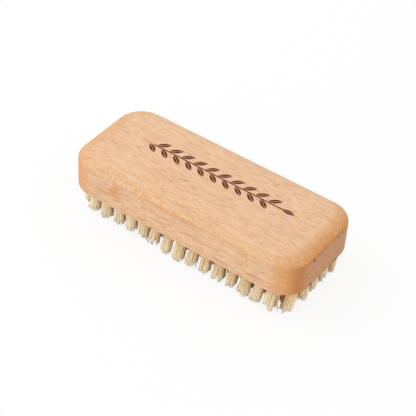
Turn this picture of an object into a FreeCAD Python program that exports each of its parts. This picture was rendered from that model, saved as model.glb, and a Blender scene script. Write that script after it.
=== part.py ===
"""Wooden nail brush: a beech block with two finger grooves, bristle tufts and their wire anchors.

Each tuft is a bundle of fibres folded in half round a piece of flat wire, the anchor.  The fold is
driven to the bottom of a blind hole, where the ends of the anchor bite into the wood.

Frame: millimetres, +X along the block, +Y across it, +Z up.  The origin is under the middle of the
block, on the plane of the bristle tips.
"""
import FreeCAD
import Part
import Sketcher

import os

# Driving dimensions, in millimetres
SIZES = {
    "block_length": 95.0,
    "block_width": 40.0,
    "block_height": 14.0,
    "corner_radius": 10.0,
    "edge_inset": 5.8,
    "edge_drop": 2.5,
    "foot_round": 0.6,
    "groove_margin": 18.5,
    "groove_height": 8.2,
    "groove_depth": 0.8,
    "groove_rise": 0.2,
    "groove_run_out": 4.6,
    "end_margin": 3.8,
    "side_margin": 4.6,
    "column_pitch": 5.44,
    "row_pitch": 6.08,
    "hole_diameter": 3.6,
    "hole_depth": 7.0,
    "hole_clearance": 0.05,
    "bristle_length": 9.0,
    "tip_gap": 1.04,
    "fold_thickness": 1.0,
    "anchor_thickness": 0.45,
    "anchor_height": 1.6,
    "anchor_bite": 0.5,
    "overrun": 1.0,
}


def whole_pitches(space, pitch):
    """How many whole pitches fit into a space."""
    return int(round(space / pitch, 6))


# The tufts stand in cross columns; the two end columns are staggered between the rows of the others
SIDE_COLUMNS = whole_pitches(SIZES["block_length"] / 2 - SIZES["end_margin"], SIZES["column_pitch"])
COLUMNS = 2 * SIDE_COLUMNS + 1
MIDDLE_COLUMNS = COLUMNS - 2
END_ROWS = whole_pitches(SIZES["block_width"] - 2 * SIZES["side_margin"], SIZES["row_pitch"])
MIDDLE_ROWS = END_ROWS + 1

# Sizes worked out from the driving dimensions
DERIVED = {
    "edge_radius": "(edge_inset ^ 2 + edge_drop ^ 2) / (2 * edge_drop)",
    "edge_level": "block_height - edge_drop",
    "blank_margin": "edge_radius - edge_inset",
    "blank_length": "block_length + 2 * blank_margin",
    "blank_width": "block_width + 2 * blank_margin",
    "blank_corner": "corner_radius + blank_margin",
    "waste_length": "blank_length + 2 * overrun",
    "waste_width": "blank_width + 2 * overrun",
    "waste_height": "block_height + overrun",
    "groove_radius": "(groove_height ^ 2 / 4 + groove_depth ^ 2) / (2 * groove_depth)",
    "groove_level": "edge_level + groove_rise - groove_height / 2",
    "groove_centre": "block_width / 2 - groove_depth + groove_radius",
    "groove_mouth": "block_width / 2 + overrun",
    "groove_straight": "block_length - 2 * groove_margin - 2 * groove_run_out",
    "cutter_radius": "(groove_run_out ^ 2 + groove_depth ^ 2) / (2 * groove_depth)",
    "cutter_axis": "block_width / 2 - groove_depth + cutter_radius",
    "cutter_spread": "2 * cutter_axis",
    "cutter_place": "groove_straight / 2",
    "first_column": "column_pitch * %d / 2" % (MIDDLE_COLUMNS - 1),
    "first_row": "row_pitch * %d / 2" % (MIDDLE_ROWS - 1),
    "end_column": "column_pitch * %d / 2" % (COLUMNS - 1),
    "end_row": "row_pitch * %d / 2" % (END_ROWS - 1),
    "end_spread": "2 * end_column",
    "anchor_length": "hole_diameter + 2 * anchor_bite",
    "anchor_half": "anchor_thickness / 2",
    "anchor_foot": "hole_depth - fold_thickness - anchor_height",
    "anchor_place": "bristle_length + anchor_foot",
    "root_radius": "hole_diameter / 2 - hole_clearance",
    "tip_radius": "(column_pitch - tip_gap) / 2",
    "tuft_height": "bristle_length + hole_depth",
}


def make_sheet(doc):
    """Put every size in a spreadsheet, one alias to a row."""
    sheet = doc.addObject("Spreadsheet::Sheet", "Sizes")
    rows = {alias: str(value) for alias, value in SIZES.items()}
    rows.update({alias: "=" + formula for alias, formula in DERIVED.items()})
    for row, (alias, content) in enumerate(rows.items(), start=1):
        sheet.set("A%d" % row, alias)
        sheet.set("B%d" % row, content)
        sheet.setAlias("B%d" % row, alias)
    doc.recompute()


def origin_feature(body, role):
    """The body's own origin plane or axis with this role."""
    return next(item for item in body.Origin.OriginFeatures if item.Role == role)


def new_sketch(body, name, role):
    """An empty sketch on one of the body's origin planes."""
    sketch = body.newObject("Sketcher::SketchObject", name)
    sketch.AttachmentSupport = [(origin_feature(body, role), "")]
    sketch.MapMode = "FlatFace"
    return sketch


def size(sketch, alias):
    """The present value of a size, for the first drawing of a sketch."""
    return float(sketch.Document.Sizes.get(alias))


def constrain(sketch, kind, *places):
    """A geometric constraint of the sketch."""
    sketch.addConstraint(Sketcher.Constraint(kind, *places))


def dimension(sketch, alias, kind, *places):
    """A dimension of the sketch that follows a size of the sheet."""
    index = sketch.addConstraint(Sketcher.Constraint(kind, *places, size(sketch, alias)))
    sketch.setExpression("Constraints[%d]" % index, "Sizes." + alias)


def line(sketch, start, end):
    """A straight line between two places of the sketch; returns its number."""
    segment = Part.LineSegment(FreeCAD.Vector(*start), FreeCAD.Vector(*end))
    return sketch.addGeometry(segment)


def arc(sketch, start, middle, end):
    """An arc through three places of the sketch; returns its number."""
    curve = Part.Arc(FreeCAD.Vector(*start), FreeCAD.Vector(*middle), FreeCAD.Vector(*end))
    return sketch.addGeometry(curve)


def rectangle(sketch, left, low, right, high):
    """A level rectangle; returns the numbers of its lower, right, upper and left lines."""
    corners = [(left, low), (right, low), (right, high), (left, high)]
    lines = [line(sketch, start, end) for start, end in zip(corners, corners[1:] + corners[:1])]
    for side, after in zip(lines, lines[1:] + lines[:1]):
        constrain(sketch, "Coincident", side, 2, after, 1)
    for side, kind in zip(lines, ("Horizontal", "Vertical", "Horizontal", "Vertical")):
        constrain(sketch, kind, side)
    return lines


def centred_rectangle(sketch, length, width):
    """A rectangle about the sketch's origin, its two sizes named by their aliases."""
    across, up = size(sketch, length) / 2, size(sketch, width) / 2
    lower, right, upper, _ = rectangle(sketch, -across, -up, across, up)
    constrain(sketch, "Symmetric", lower, 1, upper, 1, -1, 1)
    dimension(sketch, length, "DistanceX", lower, 1, lower, 2)
    dimension(sketch, width, "DistanceY", right, 1, right, 2)


def rounded_rectangle(sketch, length, width, radius):
    """A centred rectangle with round corners, its three sizes named by their aliases."""
    across, up, bend = size(sketch, length) / 2, size(sketch, width) / 2, size(sketch, radius)
    inner_x, inner_y = across - bend, up - bend
    knee = bend / 2 ** 0.5
    lower = line(sketch, (-inner_x, -up), (inner_x, -up))
    right = line(sketch, (across, -inner_y), (across, inner_y))
    upper = line(sketch, (inner_x, up), (-inner_x, up))
    left = line(sketch, (-across, inner_y), (-across, -inner_y))
    corners = [
        arc(sketch, (inner_x, -up), (inner_x + knee, -inner_y - knee), (across, -inner_y)),
        arc(sketch, (across, inner_y), (inner_x + knee, inner_y + knee), (inner_x, up)),
        arc(sketch, (-inner_x, up), (-inner_x - knee, inner_y + knee), (-across, inner_y)),
        arc(sketch, (-across, -inner_y), (-inner_x - knee, -inner_y - knee), (-inner_x, -up)),
    ]
    sides = [lower, right, upper, left]
    for side, corner, after in zip(sides, corners, sides[1:] + sides[:1]):
        constrain(sketch, "Tangent", side, 2, corner, 1)
        constrain(sketch, "Tangent", corner, 2, after, 1)
    for side, kind in zip(sides, ("Horizontal", "Vertical", "Horizontal", "Vertical")):
        constrain(sketch, kind, side)
    for corner in corners[1:]:
        constrain(sketch, "Equal", corners[0], corner)
    constrain(sketch, "Symmetric", lower, 1, upper, 1, -1, 1)
    dimension(sketch, length, "DistanceX", left, 1, right, 1)
    dimension(sketch, width, "DistanceY", lower, 1, upper, 1)
    dimension(sketch, radius, "Radius", corners[0])


def groove_section(sketch, side):
    """The round section of the finger groove on one side of the block, closed outside the wood."""
    centre, radius = size(sketch, "groove_centre"), size(sketch, "groove_radius")
    mouth, level = size(sketch, "groove_mouth"), size(sketch, "groove_level")
    half_mouth = (radius ** 2 - (centre - mouth) ** 2) ** 0.5
    low, high = (side * mouth, level - half_mouth), (side * mouth, level + half_mouth)
    curve = arc(sketch, low, (side * (centre - radius), level), high)
    chord = line(sketch, high, low)
    first, last = (1, 2) if side < 0 else (2, 1)
    constrain(sketch, "Coincident", curve, first, chord, 2)
    constrain(sketch, "Coincident", curve, last, chord, 1)
    constrain(sketch, "Vertical", chord)
    for alias, geometry, place in (("groove_centre", curve, 3), ("groove_mouth", chord, 1)):
        outwards = (geometry, place, -1, 1) if side < 0 else (-1, 1, geometry, place)
        dimension(sketch, alias, "DistanceX", *outwards)
    dimension(sketch, "groove_level", "DistanceY", -1, 1, curve, 3)
    dimension(sketch, "groove_radius", "Radius", curve)


def circle_at(sketch, diameter, column, row):
    """A circle left of and below the sketch's origin by two named distances."""
    centre = FreeCAD.Vector(-size(sketch, column), -size(sketch, row), 0)
    normal = FreeCAD.Vector(0, 0, 1)
    circle = sketch.addGeometry(Part.Circle(centre, normal, size(sketch, diameter) / 2))
    dimension(sketch, column, "DistanceX", circle, 3, -1, 1)
    dimension(sketch, row, "DistanceY", circle, 3, -1, 1)
    dimension(sketch, diameter, "Diameter", circle)


def bar_at(sketch, thickness, length, column, row):
    """An upright bar whose centre is left of and below the origin by two named distances."""
    x, y = -size(sketch, column), -size(sketch, row)
    across, up = size(sketch, thickness) / 2, size(sketch, length) / 2
    lower, right, upper, _ = rectangle(sketch, x - across, y - up, x + across, y + up)
    middle = sketch.addGeometry(Part.Point(FreeCAD.Vector(x, y, 0)), True)
    constrain(sketch, "Symmetric", lower, 1, upper, 1, middle, 1)
    dimension(sketch, column, "DistanceX", middle, 1, -1, 1)
    dimension(sketch, row, "DistanceY", middle, 1, -1, 1)
    dimension(sketch, thickness, "DistanceX", lower, 1, lower, 2)
    dimension(sketch, length, "DistanceY", right, 1, right, 2)


def pad(body, name, sketch, alias):
    """Raise the sketch by a named height."""
    feature = body.newObject("PartDesign::Pad", name)
    feature.Profile = sketch
    feature.setExpression("Length", "Sizes." + alias)
    return feature


def pocket(body, name, sketch, alias, both_ways=False):
    """Cut the sketch into the body by a named depth, along its normal or to both sides of its plane."""
    feature = body.newObject("PartDesign::Pocket", name)
    feature.Profile = sketch
    feature.setExpression("Length", "Sizes." + alias)
    feature.Midplane = both_ways
    feature.Reversed = not both_ways
    return feature


def round_edges(body, name, base, height, radius):
    """Round the base feature's level edges at this height with a named radius."""
    reach = Part.Precision.confusion()
    edges = []
    for number, edge in enumerate(base.Shape.Edges, start=1):
        heights = [vertex.Z for vertex in edge.Vertexes] + [edge.CenterOfMass.z]
        if all(abs(place - height) < reach for place in heights):
            edges.append("Edge%d" % number)
    feature = body.newObject("PartDesign::Fillet", name)
    feature.Base = (base, edges)
    feature.setExpression("Radius", "Sizes." + radius)


def grid(body, name, originals, along, across):
    """Repeat features along X and Y; each direction is a count and the alias of its spacing."""
    feature = body.newObject("PartDesign::LinearPattern", name)
    feature.Originals = originals
    feature.Direction = (origin_feature(body, "X_Axis"), [""])
    feature.Direction2 = (origin_feature(body, "Y_Axis"), [""])
    feature.Mode = "Spacing"
    feature.Mode2 = "Spacing"
    feature.Occurrences, spacing = along
    feature.Occurrences2, spacing2 = across
    feature.setExpression("Offset", "Sizes." + spacing)
    feature.setExpression("Offset2", "Sizes." + spacing2)
    # Both directions keep the even spacing that the first one starts with
    feature.Spacings2 = feature.Spacings[:1] * (feature.Occurrences2 - 1)
    body.Tip = feature


def make_block(doc):
    """The beech block: round corners, a rounded-over top edge, finger grooves and the tuft holes."""
    body = doc.addObject("PartDesign::Body", "block")
    body.setExpression("Placement.Base.z", "Sizes.bristle_length")

    # A blank larger than the block by the part of the round-over that is cut away again
    outline = new_sketch(body, "blank_outline", "XY_Plane")
    rounded_rectangle(outline, "blank_length", "blank_width", "blank_corner")
    blank = pad(body, "blank", outline, "block_height")
    doc.recompute()
    round_edges(body, "crown", blank, size(outline, "block_height"), "edge_radius")

    # The sides are cut down to the block's outline, which leaves a crease under the round-over
    waste = new_sketch(body, "waste_outline", "XY_Plane")
    centred_rectangle(waste, "waste_length", "waste_width")
    rounded_rectangle(waste, "block_length", "block_width", "corner_radius")
    sides = pocket(body, "sides", waste, "waste_height")
    doc.recompute()
    round_edges(body, "foot", sides, 0, "foot_round")

    # Finger grooves in both long sides, with the cutter's own round at each end
    straight = new_sketch(body, "groove_outline", "YZ_Plane")
    for side in (-1, 1):
        groove_section(straight, side)
    pocket(body, "grooves", straight, "groove_straight", both_ways=True)
    ending = new_sketch(body, "groove_end_outline", "YZ_Plane")
    ending.setExpression("AttachmentOffset.Base.z", "-Sizes.cutter_place")
    groove_section(ending, -1)
    axis_place = -size(ending, "cutter_axis")
    axis = line(ending, (axis_place, 0), (axis_place, size(ending, "block_height")))
    ending.setConstruction(axis, True)
    constrain(ending, "Vertical", axis)
    constrain(ending, "PointOnObject", axis, 1, -1)
    dimension(ending, "cutter_axis", "DistanceX", axis, 1, -1, 1)
    dimension(ending, "block_height", "DistanceY", axis, 1, axis, 2)
    cutter = body.newObject("PartDesign::Groove", "groove_end")
    cutter.Profile = ending
    cutter.ReferenceAxis = (ending, ["Axis0"])
    cutter.Angle = 360
    grid(body, "groove_ends", [cutter], (2, "groove_straight"), (2, "cutter_spread"))

    # Blind holes for the tufts, and the slits that the anchors cut at their bottom
    fields = (("middle", "first_column", "first_row", (MIDDLE_COLUMNS, "column_pitch"), MIDDLE_ROWS),
              ("ends", "end_column", "end_row", (2, "end_spread"), END_ROWS))
    for field, column, row, along, rows in fields:
        mouth = new_sketch(body, field + "_hole_outline", "XY_Plane")
        circle_at(mouth, "hole_diameter", column, row)
        hole = pocket(body, field + "_hole", mouth, "hole_depth")
        slit_outline = new_sketch(body, field + "_slit_outline", "XY_Plane")
        slit_outline.setExpression("AttachmentOffset.Base.z", "Sizes.anchor_foot")
        bar_at(slit_outline, "anchor_thickness", "anchor_length", column, row)
        slit = pocket(body, field + "_slit", slit_outline, "anchor_height")
        grid(body, field + "_holes", [hole, slit], along, (rows, "row_pitch"))
    return body


def column_body(doc, kind, number, rows):
    """An empty body at the lowest tuft of a cross column, counted from the -X end of the block."""
    body = doc.addObject("PartDesign::Body", "%s_column_%02d" % (kind, number))
    places_from_middle = number - (COLUMNS + 1) / 2
    body.setExpression("Placement.Base.x", "Sizes.column_pitch * %s" % places_from_middle)
    body.setExpression("Placement.Base.y", "-Sizes.row_pitch * %s" % ((rows - 1) / 2))
    return body


def repeat_rows(body, originals, rows):
    """Repeat features along the column, one for each row."""
    feature = body.newObject("PartDesign::LinearPattern", body.Name + "_rows")
    feature.Originals = originals
    feature.Direction = (origin_feature(body, "Y_Axis"), [""])
    feature.Mode = "Spacing"
    feature.Occurrences = rows
    feature.setExpression("Offset", "Sizes.row_pitch")
    body.Tip = feature


def make_tufts(doc, number, rows):
    """A cross column of tufts: straight in the hole, flared below it, cut level at the tips."""
    body = column_body(doc, "tufts", number, rows)
    profile = new_sketch(body, body.Name + "_profile", "XZ_Plane")
    tip, root = size(profile, "tip_radius"), size(profile, "root_radius")
    mouth, top = size(profile, "bristle_length"), size(profile, "tuft_height")
    corners = [(0, 0), (tip, 0), (root, mouth), (root, top), (0, top)]
    lines = [line(profile, start, end) for start, end in zip(corners, corners[1:] + corners[:1])]
    for side, after in zip(lines, lines[1:] + lines[:1]):
        constrain(profile, "Coincident", side, 2, after, 1)
    tips, _, wall, fold, core = lines
    constrain(profile, "Coincident", tips, 1, -1, 1)
    constrain(profile, "Horizontal", tips)
    constrain(profile, "Vertical", wall)
    constrain(profile, "Horizontal", fold)
    constrain(profile, "Vertical", core)
    dimension(profile, "tip_radius", "DistanceX", tips, 1, tips, 2)
    dimension(profile, "root_radius", "DistanceX", fold, 2, fold, 1)
    dimension(profile, "bristle_length", "DistanceY", -1, 1, wall, 1)
    dimension(profile, "tuft_height", "DistanceY", -1, 1, fold, 1)
    tuft = body.newObject("PartDesign::Revolution", body.Name + "_tuft")
    tuft.Profile = profile
    tuft.ReferenceAxis = (profile, ["V_Axis"])
    tuft.Angle = 360

    # The anchor passes across the tuft, inside the fold
    window = new_sketch(body, body.Name + "_window", "XZ_Plane")
    across, low = size(window, "anchor_half"), size(window, "anchor_place")
    lower, right, _, _ = rectangle(window, -across, low, across, low + size(window, "anchor_height"))
    dimension(window, "anchor_half", "DistanceX", lower, 1, -1, 1)
    dimension(window, "anchor_place", "DistanceY", -1, 1, lower, 1)
    dimension(window, "anchor_thickness", "DistanceX", lower, 1, lower, 2)
    dimension(window, "anchor_height", "DistanceY", right, 1, right, 2)
    passage = pocket(body, body.Name + "_passage", window, "anchor_length", both_ways=True)
    repeat_rows(body, [tuft, passage], rows)
    return body


def make_anchors(doc, number, rows):
    """A cross column of anchors: short pieces of flat wire, set across the grain."""
    body = column_body(doc, "anchors", number, rows)
    body.setExpression("Placement.Base.z", "Sizes.anchor_place")
    section = new_sketch(body, body.Name + "_section", "XY_Plane")
    centred_rectangle(section, "anchor_thickness", "anchor_length")
    wire = pad(body, body.Name + "_wire", section, "anchor_height")
    repeat_rows(body, [wire], rows)
    return body


def check(doc, nodes):
    """Stop on an object that failed, or on a sub-part without a valid shape."""
    for item in doc.Objects:
        if "Invalid" in item.State or "Error" in item.State:
            raise RuntimeError("failed object: %s" % item.Name)
    for node in nodes:
        if node.Shape.isNull() or not node.Shape.isValid() or not node.Shape.Solids:
            raise RuntimeError("no valid shape: %s" % node.Label)


def main():
    doc = FreeCAD.newDocument("nail_brush")
    make_sheet(doc)
    nodes = [make_block(doc)]
    for number in range(1, COLUMNS + 1):
        rows = END_ROWS if number in (1, COLUMNS) else MIDDLE_ROWS
        nodes.append(make_tufts(doc, number, rows))
        nodes.append(make_anchors(doc, number, rows))
    doc.recompute()
    check(doc, nodes)
    os.makedirs("parts", exist_ok=True)
    for node in nodes:
        node.Shape.exportStep("parts/%s.step" % node.Label)
        print(node.Label, len(node.Shape.Solids), "solids", round(node.Shape.Volume, 2), "mm3")


main()
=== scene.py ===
# %% [markdown]
# # A wooden nail brush
# The brush is a block of oiled beech with a finger groove in each long side. A hundred tufts of
# stiff plant fibre stand in drilled holes under it, and a short piece of flat brass wire holds each
# tuft in its hole. The packed model gives every piece its place in one frame, in metres, so this
# lesson only dresses it: the block and the tufts become finer surfaces, the wires keep their own
# solids, and each of them gets a finish made of nodes.

# %% The packed model
import math
from functools import reduce
from types import SimpleNamespace

import bpy
import bmesh
import numpy as np
from mathutils import Matrix, Vector
from mathutils.geometry import delaunay_2d_cdt


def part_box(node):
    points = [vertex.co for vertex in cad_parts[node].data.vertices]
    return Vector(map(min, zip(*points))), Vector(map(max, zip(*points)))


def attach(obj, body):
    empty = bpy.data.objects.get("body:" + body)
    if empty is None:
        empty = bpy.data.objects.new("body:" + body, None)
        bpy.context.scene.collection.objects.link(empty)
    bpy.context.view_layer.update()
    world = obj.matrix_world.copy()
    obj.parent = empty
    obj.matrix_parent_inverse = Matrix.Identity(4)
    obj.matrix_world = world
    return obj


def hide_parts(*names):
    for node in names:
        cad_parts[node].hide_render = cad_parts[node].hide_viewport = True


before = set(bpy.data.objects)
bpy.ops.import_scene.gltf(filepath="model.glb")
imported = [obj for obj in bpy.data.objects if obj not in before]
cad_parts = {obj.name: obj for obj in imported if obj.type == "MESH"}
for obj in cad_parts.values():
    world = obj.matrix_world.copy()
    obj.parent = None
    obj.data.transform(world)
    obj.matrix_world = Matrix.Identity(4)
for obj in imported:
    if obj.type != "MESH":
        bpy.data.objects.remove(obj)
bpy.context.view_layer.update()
MM = 0.001

# %% [markdown]
# ## Camera
# The camera looks down on the brush from the front, past its right end, with a long lens at half a
# metre. A picture can be matched by trial, but the block's outline gives enough corners to solve
# for the direction, the distance and the slight roll, and those solved numbers are used here.

# %% Camera
IMAGE_PIXELS = 416
FOCAL_PIXELS = 1459.9
AZIMUTH, ELEVATION, ROLL = (math.radians(angle) for angle in (33.154, 41.619, 4.004))
DISTANCE, NEAREST = 507.12 * MM, 10.0 * MM
AIM = Vector((-0.884, 0.359, 9.882)) * MM

back = Vector((math.sin(AZIMUTH) * math.cos(ELEVATION),
               -math.cos(AZIMUTH) * math.cos(ELEVATION),
               math.sin(ELEVATION)))
right = Vector((0, 0, 1)).cross(back).normalized()
level = Matrix((right, back.cross(right), back)).transposed().to_4x4()

camera = bpy.data.objects.new("camera", bpy.data.cameras.new("camera"))
camera.data.lens = FOCAL_PIXELS / IMAGE_PIXELS * camera.data.sensor_width
camera.data.clip_start = NEAREST
camera.matrix_world = (Matrix.Translation(AIM + DISTANCE * back) @ level
                       @ Matrix.Rotation(ROLL, 4, "Z"))
bpy.context.scene.collection.objects.link(camera)
bpy.context.scene.camera = camera
print("Lens in mm:", round(camera.data.lens, 2))

# %% [markdown]
# ## Writing shaders as sums
# A finish is a tree of small nodes, and most of them only add or multiply numbers. Linking them
# one by one hides the idea, so a socket is wrapped in a class whose operators add the Math nodes.
# Then a mask reads like the formula that it is, and one method makes every other kind of node.

# %% Sockets with arithmetic
class Socket:
    """A node's output; each operator on it adds a Math node to the same tree."""

    def __init__(self, tree, output):
        self.tree, self.output = tree, output

    def math(self, operation, *values):
        """Add a Math node with these values."""
        return self.tree.node("ShaderNodeMath", {"operation": operation}, dict(enumerate(values)))

    def __add__(self, other):
        return self.math("ADD", self, other)

    def __radd__(self, other):
        return self.math("ADD", other, self)

    def __sub__(self, other):
        return self.math("SUBTRACT", self, other)

    def __rsub__(self, other):
        return self.math("SUBTRACT", other, self)

    def __mul__(self, other):
        return self.math("MULTIPLY", self, other)

    def __rmul__(self, other):
        return self.math("MULTIPLY", other, self)

    def __truediv__(self, other):
        return self.math("DIVIDE", self, other)

    def __mod__(self, other):
        return self.math("FLOORED_MODULO", self, other)

    def __pow__(self, other):
        return self.math("POWER", self, other)

    def __lt__(self, other):
        return self.math("LESS_THAN", self, other)

    def __neg__(self):
        return self.math("SUBTRACT", 0.0, self)

    def __abs__(self):
        return self.math("ABSOLUTE", self)

    def larger(self, other):
        """The larger of two values."""
        return self.math("MAXIMUM", self, other)

    def rise(self, low, high):
        """A smooth step from 0 at low to 1 at high."""
        return self.tree.node("ShaderNodeMapRange", {"interpolation_type": "SMOOTHSTEP"},
                              {"Value": self, "From Min": low, "From Max": high})


print("A socket is:", Socket.__doc__)

# %% Trees of nodes
class Tree:
    """The node tree of a material or world, emptied for new nodes."""

    def __init__(self, owner):
        owner.use_nodes = True
        self.nodes, self.links = owner.node_tree.nodes, owner.node_tree.links
        self.nodes.clear()

    def node(self, kind, settings={}, inputs={}, output=0):
        """Add a node: its settings first, then a value or a link for each input."""
        node = self.nodes.new(kind)
        for name, value in settings.items():
            setattr(node, name, value)
        for name, value in inputs.items():
            if isinstance(value, Socket):
                self.links.new(value.output, node.inputs[name])
            else:
                node.inputs[name].default_value = value
        return Socket(self, node.outputs[output] if node.outputs else None)

    def mix(self, factor, first, second):
        """Mix two colours."""
        return self.node("ShaderNodeMix", {"data_type": "RGBA"},
                         {0: factor, 6: first, 7: second}, output=2)

    def noise(self, vector, detail=2.0):
        """Smooth noise with a feature about one unit across, from 0 to 1."""
        return self.node("ShaderNodeTexNoise", {},
                         {"Vector": vector, "Scale": 1.0, "Detail": detail})

    def stretch(self, vector, sizes, turn=(0.0, 0.0, 0.0), middle=(0.0, 0.0, 0.0)):
        """Measure the coordinates from a middle, turned back by an angle, in these sizes."""
        return self.node("ShaderNodeMapping", {"vector_type": "TEXTURE"},
                         {"Vector": vector, "Location": middle, "Rotation": turn, "Scale": sizes})

    def axes(self, vector):
        """The three parts of a vector, as numbers."""
        parts = self.node("ShaderNodeSeparateXYZ", {}, {0: vector}).output.node.outputs
        return [Socket(self, part) for part in parts]


def colour(red, green, blue):
    """A colour given as 0 to 255 on screen, as the linear values that nodes take."""
    share = np.array((red, green, blue)) / 255
    linear = np.where(share <= 0.04045, share / 12.92, ((share + 0.055) / 1.055) ** 2.4)
    return (*linear.tolist(), 1.0)


def finish(name, build):
    """A material whose tree is filled by a function that returns the surface shader."""
    material = bpy.data.materials.new(name)
    tree = Tree(material)
    tree.node("ShaderNodeOutputMaterial", {}, {"Surface": build(tree)})
    print("Finish", name, "with", len(tree.nodes), "nodes")
    return material


print("Middle grey as nodes take it:", round(colour(128, 128, 128)[0], 3))

# %% [markdown]
# ## Beech
# Beech is known by its rays, thin sheets of cells that run out from the middle of the tree. Cut
# across they are short brown dashes, cut along they are pale flecks, and on end wood they are fine
# lines. Painting the three looks would need three patterns and a seam, so one solid noise is
# squeezed into sheets instead, and each face of the block shows the cut that it makes. Here the
# rays lie at half a right angle, as the flecks on the front rounding and the dashes on top and
# side show. A kind of grain has its sizes along the grain, out from the pith and round it in
# millimetres, its detail, and the range of the noise that counts.

# %% Grain of the wood
block_low, block_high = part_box("block")
RAY_TURN = (math.radians(45), 0.0, 0.0)
GRAIN = {"streak": ((55.0, 2.2, 1.6), 4.0, (0.32, 0.68)),
         "cloud": ((22.0, 9.0, 6.0), 2.0, (0.3, 0.7)),
         "ray": ((4.0, 8.0, 0.13), 1.0, (0.58, 0.67)),
         "pore": ((6.0, 0.17, 0.17), 2.0, (0.54, 0.68)),
         "line": ((13.0, 0.18, 0.18), 0.0, (0.66, 0.7)),
         "char": ((55.0, 2.2, 1.6), 4.0, (0.3, 0.75)),
         "wander": ((60.0, 14.0, 14.0), 2.0, None),
         "fleck": ((0.9, 1.2, 0.36), 3.0, None)}
# end also serves as painted shade under the crease and at the foot, and honey_and_shade as painted
# shade on the front rounding.
WOOD_AND_SHADE = {"light": colour(243, 206, 170), "deep": colour(229, 185, 145),
        "ray": colour(190, 104, 30), "honey_and_shade": colour(229, 180, 127),
        "fleck": colour(247, 212, 170), "warm": colour(225, 157, 92),
        "crease": colour(201, 136, 78), "end": colour(205, 150, 110),
        "end_line": colour(178, 122, 84)}


def grain(tree, place, kind):
    """Noise in the tree's own directions; with a range it is 0 below that and 1 above it."""
    sizes, detail, span = GRAIN[kind]
    noise = tree.noise(tree.stretch(place, Vector(sizes) * MM, RAY_TURN), detail)
    return noise.rise(*span) if span else noise


print("Kinds of grain:", ", ".join(GRAIN))

# %% Masks of the wood
DIAGONAL = math.sqrt(0.5)
CREASE_UNDER_TOP, CLOUD_PATCH = 2.35 * MM, 0.7


def wood_masks(tree, place, normal):
    """What the steps of the colour share: the place, and masks from 0 to 1.

    end, wall and along_ray tell how the face lies: towards an end, straight to the front or back,
    and along the rays, as the front rounding does. crease is a narrow band under the rounding, and
    patchy is the cloud that never falls to 0.
    """
    along, across, up = tree.axes(normal)
    x, y, z = tree.axes(place)
    over_crease = z.rise(19.8 * MM, 20.6 * MM)
    cloud = grain(tree, place, "cloud")
    return SimpleNamespace(
        x=x, y=y, z=z, up=up, across=abs(across), end=abs(along),
        wall=abs(across).rise(0.9, 1.0),
        along_ray=((up - across) * DIAGONAL).rise(0.80, 0.97) * over_crease,
        crease=1 - abs(z - block_high.z + CREASE_UNDER_TOP).rise(0.1 * MM, 0.6 * MM),
        streak=grain(tree, place, "streak"), fleck=grain(tree, place, "fleck"),
        cloud=cloud, patchy=1 - CLOUD_PATCH + CLOUD_PATCH * cloud)


print("Crease at a height in mm:", round((block_high.z - CREASE_UNDER_TOP) / MM, 2))

# %% Plain wood
RING_WIDTH, RING_WANDER = 3.1, 1.6
# The rounding share is painted shade that darkens the front rounding.
WOOD_AND_SHADE_SHARE = {"deep": 0.13, "streak": 0.2, "late_wood": 0.16, "cloud": 0.14, "rounding": 0.42,
              "pore": 0.28, "ray": 0.56, "ray_spared": 0.6, "line": 0.12, "wall_line": 0.7}
HOLLOW = {"pore": 0.5, "ray": 0.7}


def plain_wood(tree, place, mask):
    """The colour of the bare wood, and how hollow its pores and rays are.

    Streaks and the late wood of each ring are deeper. A ring is the remainder of the distance from
    the pith, bent by slow noise. Pores, rays and, on the walls, fine lines are darker. On the front
    rounding the honey tone is painted shade that darkens it.
    """
    radial = tree.node("ShaderNodeVectorMath", {"operation": "DOT_PRODUCT"},
                       {0: place, 1: (0.0, DIAGONAL / MM, DIAGONAL / MM)}, output=1)
    ring = (radial / RING_WIDTH + RING_WANDER * grain(tree, place, "wander")) % 1.0
    late_wood = ring.rise(0.45, 0.97) - ring.rise(0.97, 1.0)
    pore, ray, line = (grain(tree, place, kind) for kind in ("pore", "ray", "line"))

    share = WOOD_AND_SHADE_SHARE
    deep = share["deep"] + share["streak"] * mask.streak + share["late_wood"] * late_wood
    wood = tree.mix(deep, WOOD_AND_SHADE["light"], WOOD_AND_SHADE["deep"])
    # In the cloud honey_and_shade is the wood's own tone; on the front rounding it is painted
    # shade.
    honey_and_shade = share["cloud"] * mask.cloud + share["rounding"] * mask.along_ray
    wood = tree.mix(honey_and_shade, wood, WOOD_AND_SHADE["honey_and_shade"])
    wood = tree.mix(share["pore"] * pore, wood, WOOD_AND_SHADE["ray"])
    dash = share["ray"] * ray * (1 - share["ray_spared"] * mask.along_ray)
    wood = tree.mix(dash, wood, WOOD_AND_SHADE["ray"])
    line = (share["line"] + share["wall_line"] * mask.wall) * line
    wood = tree.mix(line, wood, WOOD_AND_SHADE["end_line"])
    return wood, HOLLOW["pore"] * pore + HOLLOW["ray"] * ray


print("Ring width in mm:", RING_WIDTH)

# %% Flecks of the rays
FLECK = {"pale": 0.6, "warm": 0.55, "front": 0.8}


def flecked_wood(tree, wood, mask):
    """Pale and warm flecks where the face lies along the rays, and on top towards the front."""
    near_front = FLECK["front"] * (-mask.y).rise(6.0 * MM, 13.0 * MM) * mask.up
    flecked = mask.patchy * mask.along_ray.larger(near_front)
    pale, warm = mask.fleck.rise(0.5, 0.62), 1 - mask.fleck.rise(0.36, 0.48)
    wood = tree.mix(FLECK["pale"] * pale * flecked, wood, WOOD_AND_SHADE["fleck"])
    return tree.mix(FLECK["warm"] * warm * flecked, wood, WOOD_AND_SHADE["warm"])


print("Fleck size in mm:", GRAIN["fleck"][0])

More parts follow.
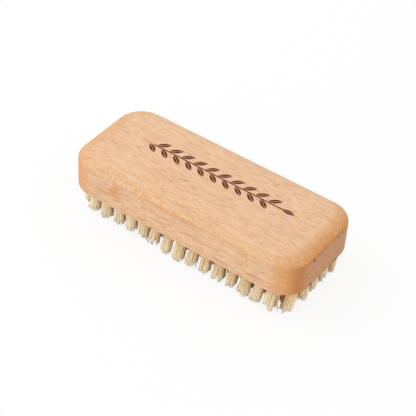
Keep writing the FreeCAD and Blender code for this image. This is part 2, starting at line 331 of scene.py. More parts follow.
# %% [markdown]
# ## Oil, painted light and end wood
# Where a cut runs across the fibres the wood drinks more oil and turns warm: at both ends, round
# the corners, and where a finger groove runs out at its left end. Oil also gathers in the crease.
# A painted picture could hold those stains, but the way a face turns to the end of the block
# already tells how far its fibres are cut, so the stains are masks of that turn and of the place.
# Light is painted in here too: painted shade darkens a band under the crease and the foot of the
# wall at the left, and the top's left end, which faces the key lamp, is spared some of the warmth
# as painted light.

# %% Oil and painted light at the edges
# crease_shade and foot_shade are painted shade, and left_spared is painted light.
OIL_AND_SHADE = {"crease": 0.85, "end": 1.5, "end_power": 0.65, "left_spared": 0.4, "groove_spared": 0.7,
       "streak": 0.16, "crease_shade": 0.22, "foot_shade": 0.2, "run_out": 0.7,
       "right_crease": 0.4}


def oil_and_shade_at_edges(tree, wood, mask):
    """The wood warmed by oil at the crease, the ends, the left run-out and the right corners.

    The end's warmth grows as a power of its turn to the end. The grooves are spared some of it,
    and so is the top's left end, which faces the key lamp: that is painted light. A band under
    the crease and the left part of the foot are a little browner: that is painted shade.
    """
    middle = 1 - abs(mask.x - 7.5 * MM).rise(14.0 * MM, 28.0 * MM)
    crease = mask.crease * middle * mask.across * mask.patchy
    wood = tree.mix(OIL_AND_SHADE["crease"] * crease, wood, WOOD_AND_SHADE["warm"])

    groove = mask.wall * (1 - abs(mask.x).rise(30.0 * MM, 33.0 * MM))
    # Painted light: the top's left end, which faces the key lamp, gets less of the end's warmth.
    left_top = (-mask.x).rise(20.0 * MM, 40.0 * MM) * mask.up.rise(0.1, 0.5)
    spared = (1 - OIL_AND_SHADE["left_spared"] * left_top) * (1 - OIL_AND_SHADE["groove_spared"] * groove)
    end = (OIL_AND_SHADE["end"] * mask.end) ** OIL_AND_SHADE["end_power"] * spared
    wood = tree.mix(end * (1 - OIL_AND_SHADE["streak"] + OIL_AND_SHADE["streak"] * mask.streak), wood, WOOD_AND_SHADE["warm"])

    # Painted shade: a browner band under the crease and at the foot of the wall at the left.
    left_foot = (1 - mask.z.rise(9.6 * MM, 11.5 * MM)) * (1 - mask.x.rise(-14.0 * MM, -4.0 * MM))
    brown = OIL_AND_SHADE["crease_shade"] * mask.crease + OIL_AND_SHADE["foot_shade"] * left_foot
    wood = tree.mix(brown, wood, WOOD_AND_SHADE["end"])

    turned = mask.end.rise(0.02, 0.2)
    run_out = turned * groove * (-mask.x).rise(10.0 * MM, 18.0 * MM)
    wood = tree.mix(OIL_AND_SHADE["run_out"] * run_out, wood, WOOD_AND_SHADE["warm"])
    right_crease = turned * mask.crease * mask.x.rise(0.0, 40.0 * MM)
    return tree.mix(OIL_AND_SHADE["right_crease"] * right_crease, wood, WOOD_AND_SHADE["warm"])


print("An end is fully warm from a turn of", round(1 / OIL_AND_SHADE["end"], 2))

# %% End wood
END_LINE_TURN, END_LINE = (math.radians(-56), 0.0, 0.0), Vector((0.8, 4.0, 0.32)) * MM
END_SHARE = {"line": 0.4, "fleck": 0.35}


def end_wood(tree, wood, place, mask):
    """The wood of corners and ends: deeper with the turn to the end, then brown with fine lines."""
    wood = tree.mix(mask.end.rise(0.6, 0.9), wood, WOOD_AND_SHADE["crease"])
    wood = tree.mix(mask.end.rise(0.9, 1.0), wood, WOOD_AND_SHADE["end"])
    line = tree.noise(tree.stretch(place, END_LINE, END_LINE_TURN)).rise(0.42, 0.62)
    wood = tree.mix(END_SHARE["line"] * line * mask.end.rise(0.1, 0.9), wood, WOOD_AND_SHADE["end_line"])
    corner = mask.end.rise(0.1, 0.4) * (1 - mask.end.rise(0.5, 0.9))
    pale = mask.fleck.rise(0.52, 0.66)
    return tree.mix(END_SHARE["fleck"] * pale * corner, wood, WOOD_AND_SHADE["fleck"])


print("Slant of the end lines in degrees:", round(math.degrees(END_LINE_TURN[0])))

# %% [markdown]
# ## The burnt sprig
# A plain leafy sprig is burnt into the top of the block along its middle: one stem, with the same
# leaf again and again on both sides. Each leaf could be drawn as a mesh or a picture. Here it is
# drawn once as a mask, in a cell that the remainder of a division repeats along the stem.

# %% Sprig
SPRIG = {"middle_y": 3.2, "half_length": 26.0, "pitch": 5.2, "leaf": 5.4, "leaf_half": 0.95,
         "lean": math.radians(36), "stem_half": 0.26, "stem_over": 1.0, "tip_over": 0.6,
         "vein_half": 0.11, "vein_pale": 0.75, "edge": 0.12}


def inked(inside):
    """1 where a distance inside an edge is positive and 0 outside, with a thin soft edge."""
    return inside.rise(-SPRIG["edge"], SPRIG["edge"])


def leaf_mask(along, across):
    """A leaf from 0 to its length: half as wide as a parabola, less a thin vein in the middle."""
    share = 2 * along / SPRIG["leaf"] - 1
    blade = inked(SPRIG["leaf_half"] * (1 - share * share) - abs(across))
    vein = inked(SPRIG["vein_half"] - abs(across))
    return blade * (1 - SPRIG["vein_pale"] * vein)


def sprig_mask(x, y):
    """The sprig in mm from its middle: alternate leaves, the stem, and a leaf at its tip."""
    pitch, half = SPRIG["pitch"], SPRIG["half_length"]
    moved = x + (y < 0.0) * (pitch / 2)
    along = moved % pitch
    inside = (abs(moved - along + pitch / 2) < half) * 1.0
    away = abs(y) - SPRIG["stem_half"]
    lean_x, lean_y = math.cos(SPRIG["lean"]), math.sin(SPRIG["lean"])
    leaves = inside * leaf_mask(along * lean_x + away * lean_y, away * lean_x - along * lean_y)
    stem = inked(SPRIG["stem_half"] - abs(y)) * (abs(x) < half + SPRIG["stem_over"])
    tip = leaf_mask(x - half - SPRIG["tip_over"], y)
    return leaves.larger(stem).larger(tip)


print("Leaves of the sprig on a side:", int(2 * SPRIG["half_length"] / SPRIG["pitch"]))

# %% [markdown]
# ## Oiled finish
# The wood was sanded and rubbed with oil, so it has a soft gloss that is duller in its pores. The
# sprig is darker, duller and a little sunken, because the surface is scorched there. A tiny dark
# knot sits under the rounding of the right end and a small dark nick near its upper edge, and two
# short dark lines along the foot of that end are painted shadow where the block meets the tufts.
# Such marks could be thin meshes on the wood, but as masks in its own finish they lie flush in it.

# %% Oiled beech
BURN = {"dark": colour(84, 26, 2), "pale": colour(118, 52, 18), "spot": colour(62, 38, 28)}
# shadow_line_back and shadow_line_front are painted shadow along the foot of the right end; the
# knot and the nick are marks in the wood.
SPOTS = {"knot": ((47.5, -8.0, 19.9), (0.7, 0.7, 0.8)),
         "shadow_line_back": ((47.5, 6.0, 9.7), (1.0, 2.0, 0.6)),
         "shadow_line_front": ((47.5, -9.0, 9.9), (1.0, 1.1, 0.6)),
         "nick": ((47.4, 6.4, 20.1), (0.6, 1.3, 0.22))}
SPOT_SHARE, BURN_DEPTH, TOP_SKIN = 0.95, 1.6, 0.1 * MM
BEECH_ROUGHNESS, PORE_ROUGHNESS, BURN_ROUGHNESS = 0.46, 0.10, 0.25


def spot_mask(tree, place, middle, sizes):
    """1 in the middle of a spot and 0 outside its three half sizes."""
    away = tree.stretch(place, Vector(sizes) * MM, middle=Vector(middle) * MM)
    distance = tree.node("ShaderNodeVectorMath", {"operation": "LENGTH"}, {0: away}, output=1)
    return 1 - distance.rise(0.55, 1.0)


def oiled_beech(tree):
    """Bare wood, flecks, oil and painted light, end wood, burnt sprig and dark spots, in turn."""
    sources = tree.node("ShaderNodeTexCoord").output.node.outputs
    normal, place = Socket(tree, sources["Normal"]), Socket(tree, sources["Object"])
    mask = wood_masks(tree, place, normal)
    wood, pores = plain_wood(tree, place, mask)
    wood = oil_and_shade_at_edges(tree, flecked_wood(tree, wood, mask), mask)
    wood = end_wood(tree, wood, place, mask)

    on_top = mask.z.rise(block_high.z - TOP_SKIN, block_high.z)
    burn = on_top * sprig_mask(mask.x / MM, mask.y / MM - SPRIG["middle_y"])
    scorched = tree.mix(grain(tree, place, "char"), BURN["dark"], BURN["pale"])
    wood = tree.mix(burn, wood, scorched)
    spots = reduce(Socket.larger, [spot_mask(tree, place, *spot) for spot in SPOTS.values()])
    # The dark spots include painted shadow along the foot of the right end.
    wood = tree.mix(SPOT_SHARE * spots, wood, BURN["spot"])

    bump = tree.node("ShaderNodeBump", {}, {"Strength": 0.35, "Distance": 0.12 * MM,
                                            "Height": -pores - BURN_DEPTH * burn})
    roughness = BEECH_ROUGHNESS + PORE_ROUGHNESS * pores + BURN_ROUGHNESS * burn
    return tree.node("ShaderNodeBsdfPrincipled", {}, {
        "Base Color": wood, "Roughness": roughness, "Normal": bump, "Specular IOR Level": 0.1})


beech = finish("oiled_beech", oiled_beech)

# %% [markdown]
# ## Fibre and brass
# The fibres are split from plant stalks, so each has its own tint, from pale straw to tan. Light is
# painted into them as well: painted shade makes them browner near the hole, under the block, and
# where they stand in the shelter of other fibres, and painted light makes them paler at the tip.
# A fibre's tint, its shelter and the place between root and tip are stored in the mesh as
# attributes, because no pattern in space could keep to one thin fibre. The anchors are brass wire,
# with the faint lengthwise lines that drawing leaves.

# %% Plant fibre
# root and core are painted shade and tip is painted light; pale and tan are the straw's own tints.
FIBRE_AND_SHADE = {"pale": colour(255, 243, 214), "tan": colour(236, 205, 152), "root": colour(210, 130, 56),
         "core": colour(228, 160, 80), "tip": colour(255, 247, 226)}
FIBRE_AND_SHADE_SHARE = {"tint": 0.75, "fleck": 0.25, "tip": 0.6, "core": 0.9, "tip_spared": 0.8,
               "root": 0.75}
FIBRE_FLECK = Vector((0.2, 0.2, 1.8)) * MM
FIBRE_ROUGHNESS, FLECK_ROUGHNESS = 0.5, 0.2


def plant_fibre(tree):
    """Straw from pale to tan, a painted paler tip, and painted shade in shelter and at the root."""
    tint, reach, shelter = (tree.node("ShaderNodeAttribute", {"attribute_name": name}, output=2)
                            for name in ("tint", "reach", "shelter"))
    place = tree.node("ShaderNodeTexCoord", output=3)
    fleck = tree.noise(tree.stretch(place, FIBRE_FLECK)).rise(0.35, 0.7)
    share = FIBRE_AND_SHADE_SHARE
    tan = share["tint"] * tint + share["fleck"] * fleck
    straw = tree.mix(tan, FIBRE_AND_SHADE["pale"], FIBRE_AND_SHADE["tan"])
    # Painted light: paler towards the tip.
    straw = tree.mix(share["tip"] * reach.rise(0.5, 1.0), straw, FIBRE_AND_SHADE["tip"])
    # Painted shade: browner where the fibre stands in the shelter of others, less so at the tip.
    core = share["core"] * shelter * (1 - share["tip_spared"] * reach.rise(0.84, 1.0))
    straw = tree.mix(core, straw, FIBRE_AND_SHADE["core"])
    # Painted shade: browner near the root, under the block.
    root = share["root"] * (1 - reach.rise(0.0, 0.45))
    straw = tree.mix(root, straw, FIBRE_AND_SHADE["root"])
    bump = tree.node("ShaderNodeBump", {}, {"Strength": 0.2, "Distance": 0.03 * MM,
                                            "Height": fleck})
    return tree.node("ShaderNodeBsdfPrincipled", {}, {
        "Base Color": straw, "Roughness": FIBRE_ROUGHNESS + FLECK_ROUGHNESS * fleck,
        "Normal": bump, "Specular IOR Level": 0.04})


straw_fibre = finish("plant_fibre", plant_fibre)

# %% Brass wire
BRASS = {"bright": colour(214, 176, 98), "dull": colour(166, 128, 66)}
DRAWN, DRAWN_DETAIL = Vector((0.03, 1.5, 0.03)) * MM, 3.0
BRASS_ROUGHNESS, DRAWN_ROUGHNESS = 0.28, 0.2


def drawn_brass(tree):
    """Metal in lengthwise lines of stretched noise, duller and darker on their ridges."""
    place = tree.node("ShaderNodeTexCoord", output=3)
    drawn = tree.noise(tree.stretch(place, DRAWN), DRAWN_DETAIL).rise(0.35, 0.7)
    bump = tree.node("ShaderNodeBump", {}, {"Strength": 0.15, "Distance": 0.01 * MM,
                                            "Height": drawn})
    return tree.node("ShaderNodeBsdfPrincipled", {}, {
        "Base Color": tree.mix(drawn, BRASS["bright"], BRASS["dull"]), "Metallic": 1.0,
        "Roughness": BRASS_ROUGHNESS + DRAWN_ROUGHNESS * drawn, "Normal": bump})


brass = finish("drawn_brass", drawn_brass)
anchors = [node for name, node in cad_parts.items() if name.startswith("anchors")]
for node in anchors:
    for place in node.material_slots:
        place.material = brass
print("Brass on", len(anchors), "columns of anchors")

# %% [markdown]
# ## The block's surface
# The block could be cut with booleans, as in the workshop, but their faces shade badly under a soft
# light. Its skin is one grid instead: one parameter walks round the outline, the other walks down
# the profile from the middle of the top, over the rounding, the softened crease and the wall to the
# foot.

# %% Outline
CORNER = 10.0 * MM
LONG_STEPS, END_STEPS, CORNER_STEPS = 220, 40, 22
half_length, half_width = (block_high.x - block_low.x) / 2, (block_high.y - block_low.y) / 2


def walk_outline():
    """Walk once round the block, starting along the front.

    The outline is a smaller rectangle grown by the corner radius. Along a side the place on that
    rectangle moves and the facing stays; round a corner the place stays and the facing turns.
    """
    rectangle = np.array([half_length - CORNER, half_width - CORNER])
    corners = np.array([(-1, -1), (1, -1), (1, 1), (-1, 1)]) * rectangle
    places, facings = [], []
    for side, steps in enumerate((LONG_STEPS, END_STEPS, LONG_STEPS, END_STEPS)):
        start, end = corners[side], corners[(side + 1) % 4]
        share, turn = np.arange(steps) / steps, np.arange(CORNER_STEPS) / CORNER_STEPS
        places += [start + share[:, None] * (end - start),
                   np.repeat(end[None], CORNER_STEPS, axis=0)]
        facings += [np.full(steps, side - 1.0), side - 1.0 + turn]
    facing = np.concatenate(facings) * math.pi / 2
    return np.concatenate(places), np.stack([np.cos(facing), np.sin(facing)], axis=1)


core, outward = walk_outline()
print("Points round the block:", len(core))

# %% Profile
EDGE_INSET, EDGE_DROP = 5.8 * MM, 2.5 * MM
CREASE_ROUND, FOOT_ROUND = 1.3 * MM, 0.6 * MM
ROWS = {"share": 7, "flat": 5, "over": 18, "crease": 8, "wall": 36, "under": 6}
top, foot = block_high.z, block_low.z


def walk_profile():
    """Rows from the middle of the top to the foot: share of the rectangle, growth, height.

    The rounding is an arc that leaves the top level. A small arc, touching it and the wall, softens
    the crease, and a last small arc rounds the foot.
    """
    arc = (EDGE_INSET ** 2 + EDGE_DROP ** 2) / (2 * EDGE_DROP)
    reach = math.asin((EDGE_INSET - CREASE_ROUND) / (arc - CREASE_ROUND))
    crease_height = top - arc + (arc - CREASE_ROUND) * math.cos(reach)
    share = np.linspace(0, 1, ROWS["share"])
    flat = np.linspace(0, CORNER - EDGE_INSET, ROWS["flat"])[1:]
    over = np.linspace(0, reach, ROWS["over"])[1:]
    crease = np.linspace(reach, math.pi / 2, ROWS["crease"])[1:]
    wall = np.linspace(crease_height, foot + FOOT_ROUND, ROWS["wall"])[1:]
    under = np.linspace(math.pi / 2, math.pi, ROWS["under"])[1:]
    growth = [0 * share, flat, CORNER - EDGE_INSET + arc * np.sin(over),
              CORNER - CREASE_ROUND * (1 - np.sin(crease)), np.full(len(wall), CORNER),
              CORNER - FOOT_ROUND * (1 - np.sin(under))]
    height = [np.full(len(share), top), np.full(len(flat), top), top - arc * (1 - np.cos(over)),
              crease_height + CREASE_ROUND * np.cos(crease), wall,
              foot + FOOT_ROUND * (1 + np.cos(under))]
    growth, height = np.concatenate(growth), np.concatenate(height)
    return np.concatenate([share, np.ones(len(growth) - len(share))]), growth, height


share, growth, height = walk_profile()
plan = share[:, None, None] * core + growth[:, None, None] * outward
rise = np.broadcast_to(height[:, None, None], plan.shape[:2] + (1,))
skin = np.concatenate([plan, rise], axis=2)
print("Skin grid:", skin.shape[0], "rows of", skin.shape[1])

# %% [markdown]
# ## Finger grooves
# A round cutter hollowed each long side and was drawn out again at both ends, more slowly at the
# left one, which leaves a long dish with a crisp lip, a little right of the middle. The dish is a
# formula too: the depth at a place on the wall is the cutter's circle there, less the length by
# which the cutter stands off the wall. A soft minimum of the wall and the dish then carves the
# skin, and its softness is the sanded lip.

# %% Grooves in the skin
GROOVE = {"height": 8.2 * MM, "depth": 0.8 * MM, "rise": 0.2 * MM, "straight": 23.75 * MM,
          "shift": 2.05 * MM, "run_out": 4.6 * MM, "left_run_out": 6.6 * MM, "lip": 0.1 * MM}


def groove_depth(x, z):
    """The depth of the dish: positive in it, negative off it.

    The cutter's section is an arc through the groove's height and depth. Turned about an upright
    axis it makes the run-out, a second arc, beyond the straight middle of the groove.
    """
    depth = GROOVE["depth"]
    section = (GROOVE["height"] ** 2 / 4 + depth ** 2) / (2 * depth)
    run_out = np.where(x < 0, GROOVE["left_run_out"], GROOVE["run_out"])
    swing = (run_out ** 2 + depth ** 2) / (2 * depth)
    above = z - (top - EDGE_DROP + GROOVE["rise"] - GROOVE["height"] / 2)
    beyond = np.maximum(np.abs(x - GROOVE["shift"]) - GROOVE["straight"], 0)
    cutter = swing - section + np.sqrt(np.maximum(section ** 2 - above ** 2, 0))
    return np.sqrt(np.maximum(cutter ** 2 - beyond ** 2, 0)) - (swing - depth)


depth = groove_depth(skin[..., 0], skin[..., 2])
gap = half_width - depth - np.abs(skin[..., 1])
skin[..., 1] = np.sign(skin[..., 1]) * (
    np.abs(skin[..., 1]) + (gap - np.sqrt(gap ** 2 + GROOVE["lip"] ** 2)) / 2)
print("Deepest place of a groove in mm:", round(depth.max() / MM, 2))

# %% [markdown]
# ## Underside
# The face under the block is flat, with a hundred blind holes in a close grid whose two end columns
# are staggered. A hundred boolean cuts would be slow and could leave cracks, so a Delaunay
# triangulation fills the face between the outline and the holes' mouths. A triangle with all three
# corners on one mouth lies over that hole and is dropped, and each hole is a profile carried round
# its own circle, with a small countersink.

# %% Hole places
COLUMN_PITCH, ROW_PITCH, COLUMNS = 5.44 * MM, 6.08 * MM, 17
FULL_ROWS, END_ROWS = 6, 5


def column_places(number):
    """The hole centres of a cross column, counted from the left, evenly spread about its middle."""
    rows = END_ROWS if number in (1, COLUMNS) else FULL_ROWS
    y = (np.arange(rows) - (rows - 1) / 2) * ROW_PITCH
    return np.stack([np.full(rows, (number - (COLUMNS + 1) / 2) * COLUMN_PITCH), y], axis=1)


holes = np.concatenate([column_places(number) for number in range(1, COLUMNS + 1)])
print("Holes:", len(holes))

# %% Hole walls
HOLE_RADIUS, HOLE_DEPTH, COUNTERSINK, HOLE_STEPS = 1.8 * MM, 7.0 * MM, 0.2 * MM, 24
SINK_BEND = 0.3 * COUNTERSINK


def ring_faces(rows, steps):
    """Quads of a grid that closes round its second parameter."""
    row, step = np.meshgrid(np.arange(rows - 1), np.arange(steps), indexing="ij")
    after = (step + 1) % steps
    faces = [row * steps + step, (row + 1) * steps + step,
             (row + 1) * steps + after, row * steps + after]
    return np.stack(faces, axis=-1).reshape(-1, 4)


circle = np.arange(HOLE_STEPS) * 2 * math.pi / HOLE_STEPS
hole_rows = np.array([(HOLE_RADIUS + COUNTERSINK, 0.0), (HOLE_RADIUS + SINK_BEND, SINK_BEND),
                      (HOLE_RADIUS, COUNTERSINK), (HOLE_RADIUS, HOLE_DEPTH), (0.0, HOLE_DEPTH)])
bore = np.stack([hole_rows[:, :1] * np.cos(circle), hole_rows[:, :1] * np.sin(circle),
                 np.broadcast_to(foot + hole_rows[:, 1:], (len(hole_rows), HOLE_STEPS))], axis=-1)
bores = bore[None] + np.pad(holes, ((0, 0), (0, 1)))[:, None, None]
bore_faces = ring_faces(len(hole_rows), HOLE_STEPS)
print("Faces of a hole:", len(bore_faces))

# %% Underside between the holes
FILL_INSIDE, SAME_POINT = 1, 1e-9

loops = [skin[-1, :, :2]] + list(bores[:, 0, :, :2])
flat_points = np.concatenate(loops)
lengths = np.array([len(loop) for loop in loops])
loop_number, starts = np.repeat(np.arange(len(loops)), lengths), np.cumsum(lengths) - lengths
after = np.arange(len(flat_points)) + 1
after[starts + lengths - 1] = starts
loop_edges = np.stack([np.arange(len(flat_points)), after], axis=1)
flat_places, _, triangles, sources, _, _ = delaunay_2d_cdt(
    [Vector(point) for point in flat_points.tolist()], loop_edges.tolist(), [],
    FILL_INSIDE, SAME_POINT)
flat_places, triangles = np.array(flat_places), np.array(triangles)
corner_loops = loop_number[[source[0] for source in sources]][triangles]
over_hole = (corner_loops == corner_loops[:, :1]).all(axis=1) & (corner_loops[:, 0] > 0)
triangles = triangles[~over_hole][:, ::-1]
print("Triangles between the holes:", len(triangles))

# %% Block
WELD, STRAIGHT_DOWN = 0.002 * MM, -0.9999


def add_piece(name, points, faces, material, node):
    """Put points and faces into a mesh that rides with the brush, and hide the named CAD node."""
    mesh = bpy.data.meshes.new(name)
    mesh.from_pydata(points, [], faces)
    mesh.materials.append(material)
    piece = bpy.data.objects.new(name, mesh)
    bpy.context.scene.collection.objects.link(piece)
    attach(piece, "root")
    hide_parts(node)
    return piece


def weld(mesh):
    """Merge points that lie on each other; returns how many edges don't join two faces."""
    work = bmesh.new()
    work.from_mesh(mesh)
    bmesh.ops.remove_doubles(work, verts=work.verts, dist=WELD)
    open_edges = sum(1 for edge in work.edges if len(edge.link_faces) != 2)
    work.to_mesh(mesh)
    work.free()
    return open_edges


skin_size = skin.shape[0] * skin.shape[1]
bore_shift = skin_size + np.arange(len(holes)) * len(hole_rows) * HOLE_STEPS
flat_shift = skin_size + bores.size // 3
points = np.concatenate([skin.reshape(-1, 3), bores.reshape(-1, 3),
                         np.pad(flat_places, ((0, 0), (0, 1)), constant_values=foot)])
quads = np.concatenate([ring_faces(*skin.shape[:2]),
                        (bore_faces + bore_shift[:, None, None]).reshape(-1, 4)])
block = add_piece("wood_block", points.tolist(),
                  quads.tolist() + (triangles + flat_shift).tolist(), beech, "block")
loose_edges = weld(block.data)
normals = np.empty(3 * len(block.data.polygons), dtype=np.float32)
block.data.polygons.foreach_get("normal", normals)
block.data.polygons.foreach_set("use_smooth", normals[2::3] > STRAIGHT_DOWN)
print("Block:", len(block.data.polygons), "faces,", loose_edges, "open edges")

# %% [markdown]
# ## Tufts
# A tuft is a bundle of fibres, folded in the middle and driven into its hole. From the mouth of the
# hole the fibres spread a little, cling together in small clumps and end at one cut level with a
# few strays. Hair particles could give that look, but not a closed mesh for the part, so every
# fibre is a thin five-sided tube along its own curve, and all fibres of a column are worked out in
# one array. Chance comes from one seed for each column, so every run gives the same brush.

# %% Lean of the tufts
LEAN = {"left": (0.4, -0.8), "right": (0.0, -2.4), "left_end": (1.9, -0.8),
        "right_end": (-0.1, -1.6), "corner": (-0.5, -3.0), "beside": (-0.9, -2.6)}
LEAN_CHANCE = {"outer": 0.2, "inner": 0.45}
PITCH = np.array([COLUMN_PITCH, ROW_PITCH])
OUTER_COLUMN, OUTER_ROW = 7.5, 1.8
WORN_AT = (-3, -1)


def tuft_kinds(places):
    """Masks of the tufts in the front row, at the right front corner, beside it and at the ends.

    Places are counted in pitches from the middle, and an outer tuft stands beyond a limit of them.
    """
    column, row = (places / PITCH).T
    front, right = row < -OUTER_ROW, column > OUTER_COLUMN
    beside = front & ~right & (column > OUTER_COLUMN - 1)
    return {"front": front, "corner": front & right, "beside": beside,
            "right_end": right & ~front, "left_end": column < -OUTER_COLUMN}


def tuft_leans(places, random):
    """How far the tips of each tuft stand from under their hole.

    The lean goes over from that of the left half to that of the right half, which is worn towards
    the front. The end columns, the right front corner and the tuft beside it have leans of their
    own. Chance adds to all of them, and more to the inner tufts.
    """
    kinds = tuft_kinds(places)
    worn = np.interp(places[:, :1] / COLUMN_PITCH, WORN_AT, (0, 1))
    lean = (1 - worn) * LEAN["left"] + worn * LEAN["right"]
    for kind in ("left_end", "right_end", "corner", "beside"):
        lean[kinds[kind]] = LEAN[kind]
    outer = kinds["front"] | kinds["left_end"] | kinds["right_end"]
    chance = np.where(outer, LEAN_CHANCE["outer"], LEAN_CHANCE["inner"])[:, None]
    return lean * MM + random.normal(0, MM, places.shape) * chance


print("Tufts in the front row:", tuft_kinds(holes)["front"].sum())

# %% Shelter of the fibres
FIBRES = 76
SHELTER = {"mean": 0.45, "across": 0.7, "inner": 0.25}


def sunflower(count):
    """Places that fill a disc of radius 1 evenly, as seeds fill a sunflower."""
    number = np.arange(count)
    ring, turn = np.sqrt((number + 0.5) / count), number * math.pi * (3 - math.sqrt(5))
    return np.stack([ring * np.cos(turn), ring * np.sin(turn)], axis=1)


def open_ways(places):
    """The direction out of the brush for each tuft of its outer rows, and none for inner tufts."""
    ways = np.sign(places) * (np.abs(places / PITCH) > (OUTER_COLUMN, OUTER_ROW))
    return ways / np.maximum(np.linalg.norm(ways, axis=1, keepdims=True), 1)


def fibre_shelter(places):
    """How sheltered each fibre stands: 0 on the outside of the brush and 1 in its inside.

    An outer tuft is open towards the side of the brush at which it stands, and a fibre is the more
    sheltered the further back it stands in its tuft from there. An inner tuft is open nowhere.
    """
    ways = open_ways(places)
    inner = ~ways.any(axis=1, keepdims=True)
    across = ways @ sunflower(FIBRES).T
    shelter = SHELTER["mean"] - SHELTER["across"] * across + SHELTER["inner"] * inner
    return np.clip(shelter, 0, 1).reshape(-1)


print("Mean shelter of a fibre:", round(fibre_shelter(holes).mean(), 3))

# %% Clumps of fibres
ROOT_RADIUS, SPLAY, CLUMPS = 1.5 * MM, 1.45, 8
SPLIT_AT, SPLIT_SHARE = (-30, 10), (0.08, 0.24)
CLUMP = {"shift": 0.12, "split_shift": 0.5, "cling": 0.12, "split_cling": 0.4}
STRAY = {"share": 0.05, "far": 0.6, "near": 0.06}


def draw_clumps(places, roots, random):
    """The clump of each fibre, and how far its tip is drawn aside.

    A fibre belongs to the nearest of a few seed fibres. Its tip is drawn to that seed and shifted
    with it, further if the clump has split off, as more do in the right half of the brush. A few
    fibres stray on their own.
    """
    seeds = roots[:, random.permutation(FIBRES)[:CLUMPS]]
    clump = np.linalg.norm(roots[:, :, None] - seeds[:, None], axis=3).argmin(axis=2)
    share = np.interp(places[0, 0] / MM, SPLIT_AT, SPLIT_SHARE)
    split = random.random((len(places), CLUMPS, 1)) < share
    shift = np.where(split, CLUMP["split_shift"], CLUMP["shift"])
    shift = random.normal(0, MM, seeds.shape) * shift
    cling = CLUMP["cling"] + CLUMP["split_cling"] * split
    middle, shift, cling = (np.take_along_axis(value, clump[..., None], axis=1)
                            for value in (seeds, shift, cling))
    stray = random.random((len(places), FIBRES, 1)) < STRAY["share"]
    stray = random.normal(0, MM, roots.shape) * (STRAY["near"] + STRAY["far"] * stray)
    return clump, cling * SPLAY * (middle - roots) + shift + stray


print("Fibres in a clump:", FIBRES / CLUMPS)

# %% Lines of the fibres
BRISTLE = foot
STATIONS = np.array([-0.22, 0.0, 0.25, 0.5, 0.76, 1.0])
WIDER = {"inner": 0.2, "beside": 0.6, "right_end": 0.25, "chance": 0.2}
BEND, END_BEND, CLUMP_BEND = 1.3, 0.6, 3
ROOT_CHANCE, BOW_CHANCE = 0.05 * MM, 0.07 * MM
SHORT_CLUMP, SHORT_FIBRE = 0.5 * MM, 0.35 * MM
BOX_MARGIN = 0.4 * MM


def fibre_lines(places, random):
    """The middle lines of all fibres of a column, one row of stations for each fibre.

    Roots fill the hole. On the way out a fibre follows its tuft's splay and lean, as a power of the
    share of its length; at the right end that bend lies nearer to the root. Its clump draws it
    aside as the third power, and a small sine bow is added. Clumps and fibres end a little short
    of the cut level by chance, and all stay inside the block's outline.
    """
    roots = ROOT_RADIUS * sunflower(FIBRES)[None]
    roots = roots + random.normal(0, ROOT_CHANCE, (len(places), FIBRES, 2))
    clump, aside = draw_clumps(places, roots, random)
    kinds, inner = tuft_kinds(places), ~open_ways(places).any(axis=1)
    wider = (WIDER["inner"] * inner + WIDER["beside"] * kinds["beside"]
             + WIDER["right_end"] * kinds["right_end"])
    splay = SPLAY - 1 + wider + random.uniform(-WIDER["chance"], WIDER["chance"], len(places))
    spread = splay[:, None, None] * roots + tuft_leans(places, random)[:, None]
    bow = random.normal(0, BOW_CHANCE, roots.shape)
    short = np.abs(random.normal(0, SHORT_CLUMP, (len(places), CLUMPS)))
    short = np.take_along_axis(short, clump, axis=1)
    short = short + np.abs(random.normal(0, SHORT_FIBRE, roots.shape[:2]))

    out = np.clip(STATIONS, 0, 1)
    bend = out ** np.where(kinds["right_end"], END_BEND, BEND)[:, None]
    flat = ((places[:, None] + roots)[:, :, None]
            + spread[:, :, None] * bend[:, None, :, None]
            + aside[:, :, None] * (out ** CLUMP_BEND)[:, None]
            + bow[:, :, None] * np.sin(math.pi * out)[:, None])
    edge = np.array([half_length, half_width]) - BOX_MARGIN
    down = BRISTLE - (BRISTLE - short[..., None]) * STATIONS
    lines = np.concatenate([np.clip(flat, -edge, edge), down[..., None]], axis=3)
    return lines.reshape(-1, len(STATIONS), 3)


print("Free length of a fibre in mm:", round(BRISTLE / MM, 2))

# %% Tubes round the lines
SIDES = 5
TAPER = np.array([0.8, 0.85, 1.0, 0.98, 0.90, 0.55])


def fibre_tubes(lines, radius, random):
    """Tubes round many lines: a level ring of points at each station, and a point at either end."""
    angle = (np.arange(SIDES) / SIDES + random.random((len(lines), 1))) * 2 * math.pi
    spokes = np.stack([np.cos(angle), np.sin(angle), 0 * angle], axis=2) * radius[:, None, None]
    rings = lines[:, :, None] + spokes[:, None] * TAPER[:, None, None]
    points = np.concatenate([rings.reshape(len(lines), -1, 3), lines[:, [0, -1]]], axis=1)
    count, last = len(STATIONS) * SIDES, (len(STATIONS) - 1) * SIDES
    step = np.arange(SIDES)
    after = (step + 1) % SIDES
    walls = ring_faces(len(STATIONS), SIDES)
    ends = np.concatenate([np.stack([0 * step + count, step, after], axis=1),
                           np.stack([0 * step + count + 1, last + after, last + step], axis=1)])
    shift = (np.arange(len(lines)) * points.shape[1])[:, None, None]
    return points, (walls + shift).reshape(-1, 4), (ends + shift).reshape(-1, 3)


print("Points of a fibre:", len(STATIONS) * SIDES + 2)

# %% Tufts
FIRST_SEED = 4100
THINNEST, THICKEST = 0.24, 0.36
TAN_SHIFT_AT, TAN_SHIFT = (-22, -6, 6, 14, 29, 40), (-0.12, 0.22, 0.26, 0.56, 0.56, 0.0)
TINT_BETA = (1.6, 1.8)


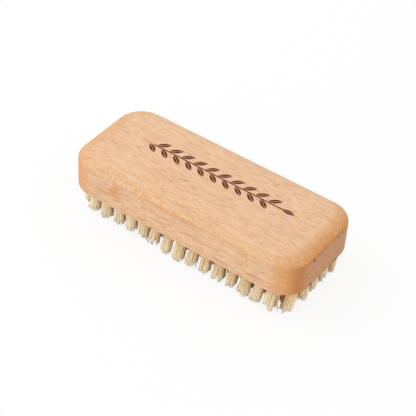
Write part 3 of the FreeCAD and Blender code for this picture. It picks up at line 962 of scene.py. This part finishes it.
def add_tufts(number):
    """All tufts of one cross column as one piece, with tint, shelter and reach as attributes.

    The tint is drawn for each fibre, and is browner right of the middle.
    """
    random = np.random.default_rng(FIRST_SEED + number)
    lines = fibre_lines(column_places(number), random)
    radius = random.uniform(THINNEST, THICKEST, len(lines)) * MM
    points, walls, ends = fibre_tubes(lines, radius, random)
    name = "fibre_tufts_%02d" % number
    piece = add_piece(name, points.reshape(-1, 3).tolist(), walls.tolist() + ends.tolist(),
                      straw_fibre, "tufts_column_%02d" % number)
    station = np.append(np.repeat(STATIONS, SIDES), STATIONS[[0, -1]])
    # The tint grows browner right of the middle.
    tan_shift = np.interp(lines[:, 0, 0] / MM, TAN_SHIFT_AT, TAN_SHIFT)
    tint = np.clip(random.beta(*TINT_BETA, len(lines)) + tan_shift, 0, 1)
    marks = {"tint": np.repeat(tint, points.shape[1]),
             # shelter drives the painted shade of the fibre finish.
             "shelter": np.repeat(fibre_shelter(column_places(number)), points.shape[1]),
             "reach": np.tile(station, len(lines))}
    for title, values in marks.items():
        piece.data.attributes.new(title, "FLOAT", "POINT").data.foreach_set("value", values)
    piece.data.shade_smooth()
    return piece


tufts = [add_tufts(number) for number in range(1, COLUMNS + 1)]
tuft_faces = sum(len(piece.data.polygons) for piece in tufts)
print("Fibres:", len(holes) * FIBRES, "with", tuft_faces, "faces")

# %% [markdown]
# ## Floor and light
# The brush stands in a white studio. A large soft key lamp at the upper left lights the top and the
# front and leaves the right end in half shade, a weak fill lamp in front reaches the tufts, and a
# pale surround fills the shadows. The floor keeps its shadow, and only towards the camera it is
# lifted to white. A bright lamp could whiten it too, but would also bleach the wood.

# %% Floor
FLOOR_HALF, FLOOR_WHITE = 2.0, 0.85
PAPER, WHITE = colour(252, 252, 252), (1.0, 1.0, 1.0, 1.0)


def direct_ray(tree):
    """1 for what the camera sees itself, in a gloss or through glass, and 0 for stray light."""
    rays = tree.node("ShaderNodeLightPath").output.node.outputs
    names = ("Is Camera Ray", "Is Glossy Ray", "Is Transmission Ray")
    return sum((Socket(tree, rays[name]) for name in names), 0.0).rise(0.0, 1.0)


def studio_floor(tree):
    """Pale paper that takes the shadow, mixed with plain white for direct rays."""
    seen = direct_ray(tree)
    paper = tree.node("ShaderNodeBsdfDiffuse", {}, {"Color": PAPER})
    white = tree.node("ShaderNodeEmission", {}, {"Color": WHITE, "Strength": 1.0})
    return tree.node("ShaderNodeMixShader", {}, {0: FLOOR_WHITE * seen, 1: paper, 2: white})


floor_mesh = bpy.data.meshes.new("floor")
floor_mesh.from_pydata([(-FLOOR_HALF, -FLOOR_HALF, 0), (FLOOR_HALF, -FLOOR_HALF, 0),
                        (FLOOR_HALF, FLOOR_HALF, 0), (-FLOOR_HALF, FLOOR_HALF, 0)],
                       [], [(0, 1, 2, 3)])
floor_mesh.materials.append(finish("studio_floor", studio_floor))
floor = bpy.data.objects.new("floor", floor_mesh)
bpy.context.scene.collection.objects.link(floor)
print("Floor half width in m:", FLOOR_HALF)

# %% Lamps and surround
SURROUND = 0.84
LAMPS = {"key": {"direction": (-0.70, -0.20, 0.68), "distance": 0.9, "size": 0.55, "power": 2.0},
         "fill": {"direction": (0.05, -0.97, 0.22), "distance": 1.0, "size": 0.8, "power": 0.6}}

world = bpy.data.worlds.new("studio")
bpy.context.scene.world = world
tree = Tree(world)
strength = SURROUND + (1 - SURROUND) * direct_ray(tree)
background = tree.node("ShaderNodeBackground", {}, {"Color": WHITE, "Strength": strength})
tree.node("ShaderNodeOutputWorld", {}, {"Surface": background})

for name, settings in LAMPS.items():
    lamp = bpy.data.objects.new(name, bpy.data.lights.new(name, "AREA"))
    lamp.data.shape, lamp.data.size = "DISK", settings["size"]
    lamp.data.energy = settings["power"]
    away = Vector(settings["direction"]).normalized()
    lamp.matrix_world = (Matrix.Translation(away * settings["distance"])
                         @ away.to_track_quat("Z", "Y").to_matrix().to_4x4())
    bpy.context.scene.collection.objects.link(lamp)
    print("Lamp", name, "at", [round(value, 3) for value in lamp.matrix_world.translation])
bpy.context.scene.view_settings.view_transform = "Standard"

# %% [markdown]
# ## Sizes
# The tufts are clipped inside the block's outline, so the dressed brush stays inside the box of the
# packed model.
